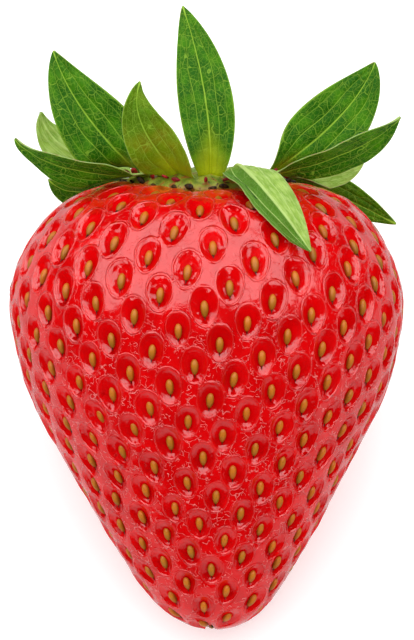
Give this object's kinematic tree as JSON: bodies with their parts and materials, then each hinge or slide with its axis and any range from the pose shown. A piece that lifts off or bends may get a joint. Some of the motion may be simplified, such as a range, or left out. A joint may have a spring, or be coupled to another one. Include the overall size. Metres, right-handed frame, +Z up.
{
  "type": "strawberry",
  "caption": "Large ripe conical strawberry lying on its side on a small flat spot, with its leafy green calyx and a short snapped stem.",
  "frame": {"origin": "centre of the small flat spot that the berry rests on", "axes": "+Z up, away from the surface; +Y from the tip towards the calyx along the berry's length; +X to the right, seen from above with the calyx at the top"},
  "size_m": [0.0394, 0.055, 0.0369],
  "materials": {
    "flesh": "wet-looking glossy red skin, dimpled round every seed",
    "achene": "satin golden-brown seed coat",
    "calyx": "satin olive-green plant tissue with red-brown specks",
    "stamen": "dry dark-brown remains of stamens",
    "stem": "downy pale green stalk",
    "sepal": "satin green leaf with pale veins, paler and downy beneath"
  },
  "bodies": {
    "root": {"berry": "flesh", "calyx_disc": "calyx", "stem_stub": "stem", "sepal_upright": "sepal", "sepal_left_curled": "sepal", "sepal_left_broad": "sepal", "sepal_left_low": "sepal", "sepal_left_rear": "sepal", "sepal_left_drooping": "sepal", "sepal_back_left": "sepal", "sepal_back_right": "sepal", "sepal_right_drooping": "sepal", "sepal_right_rear": "sepal", "sepal_right_broad": "sepal", "sepal_right_low": "sepal", "sepal_front_folded": "sepal"}
  },
  "joints": []
}
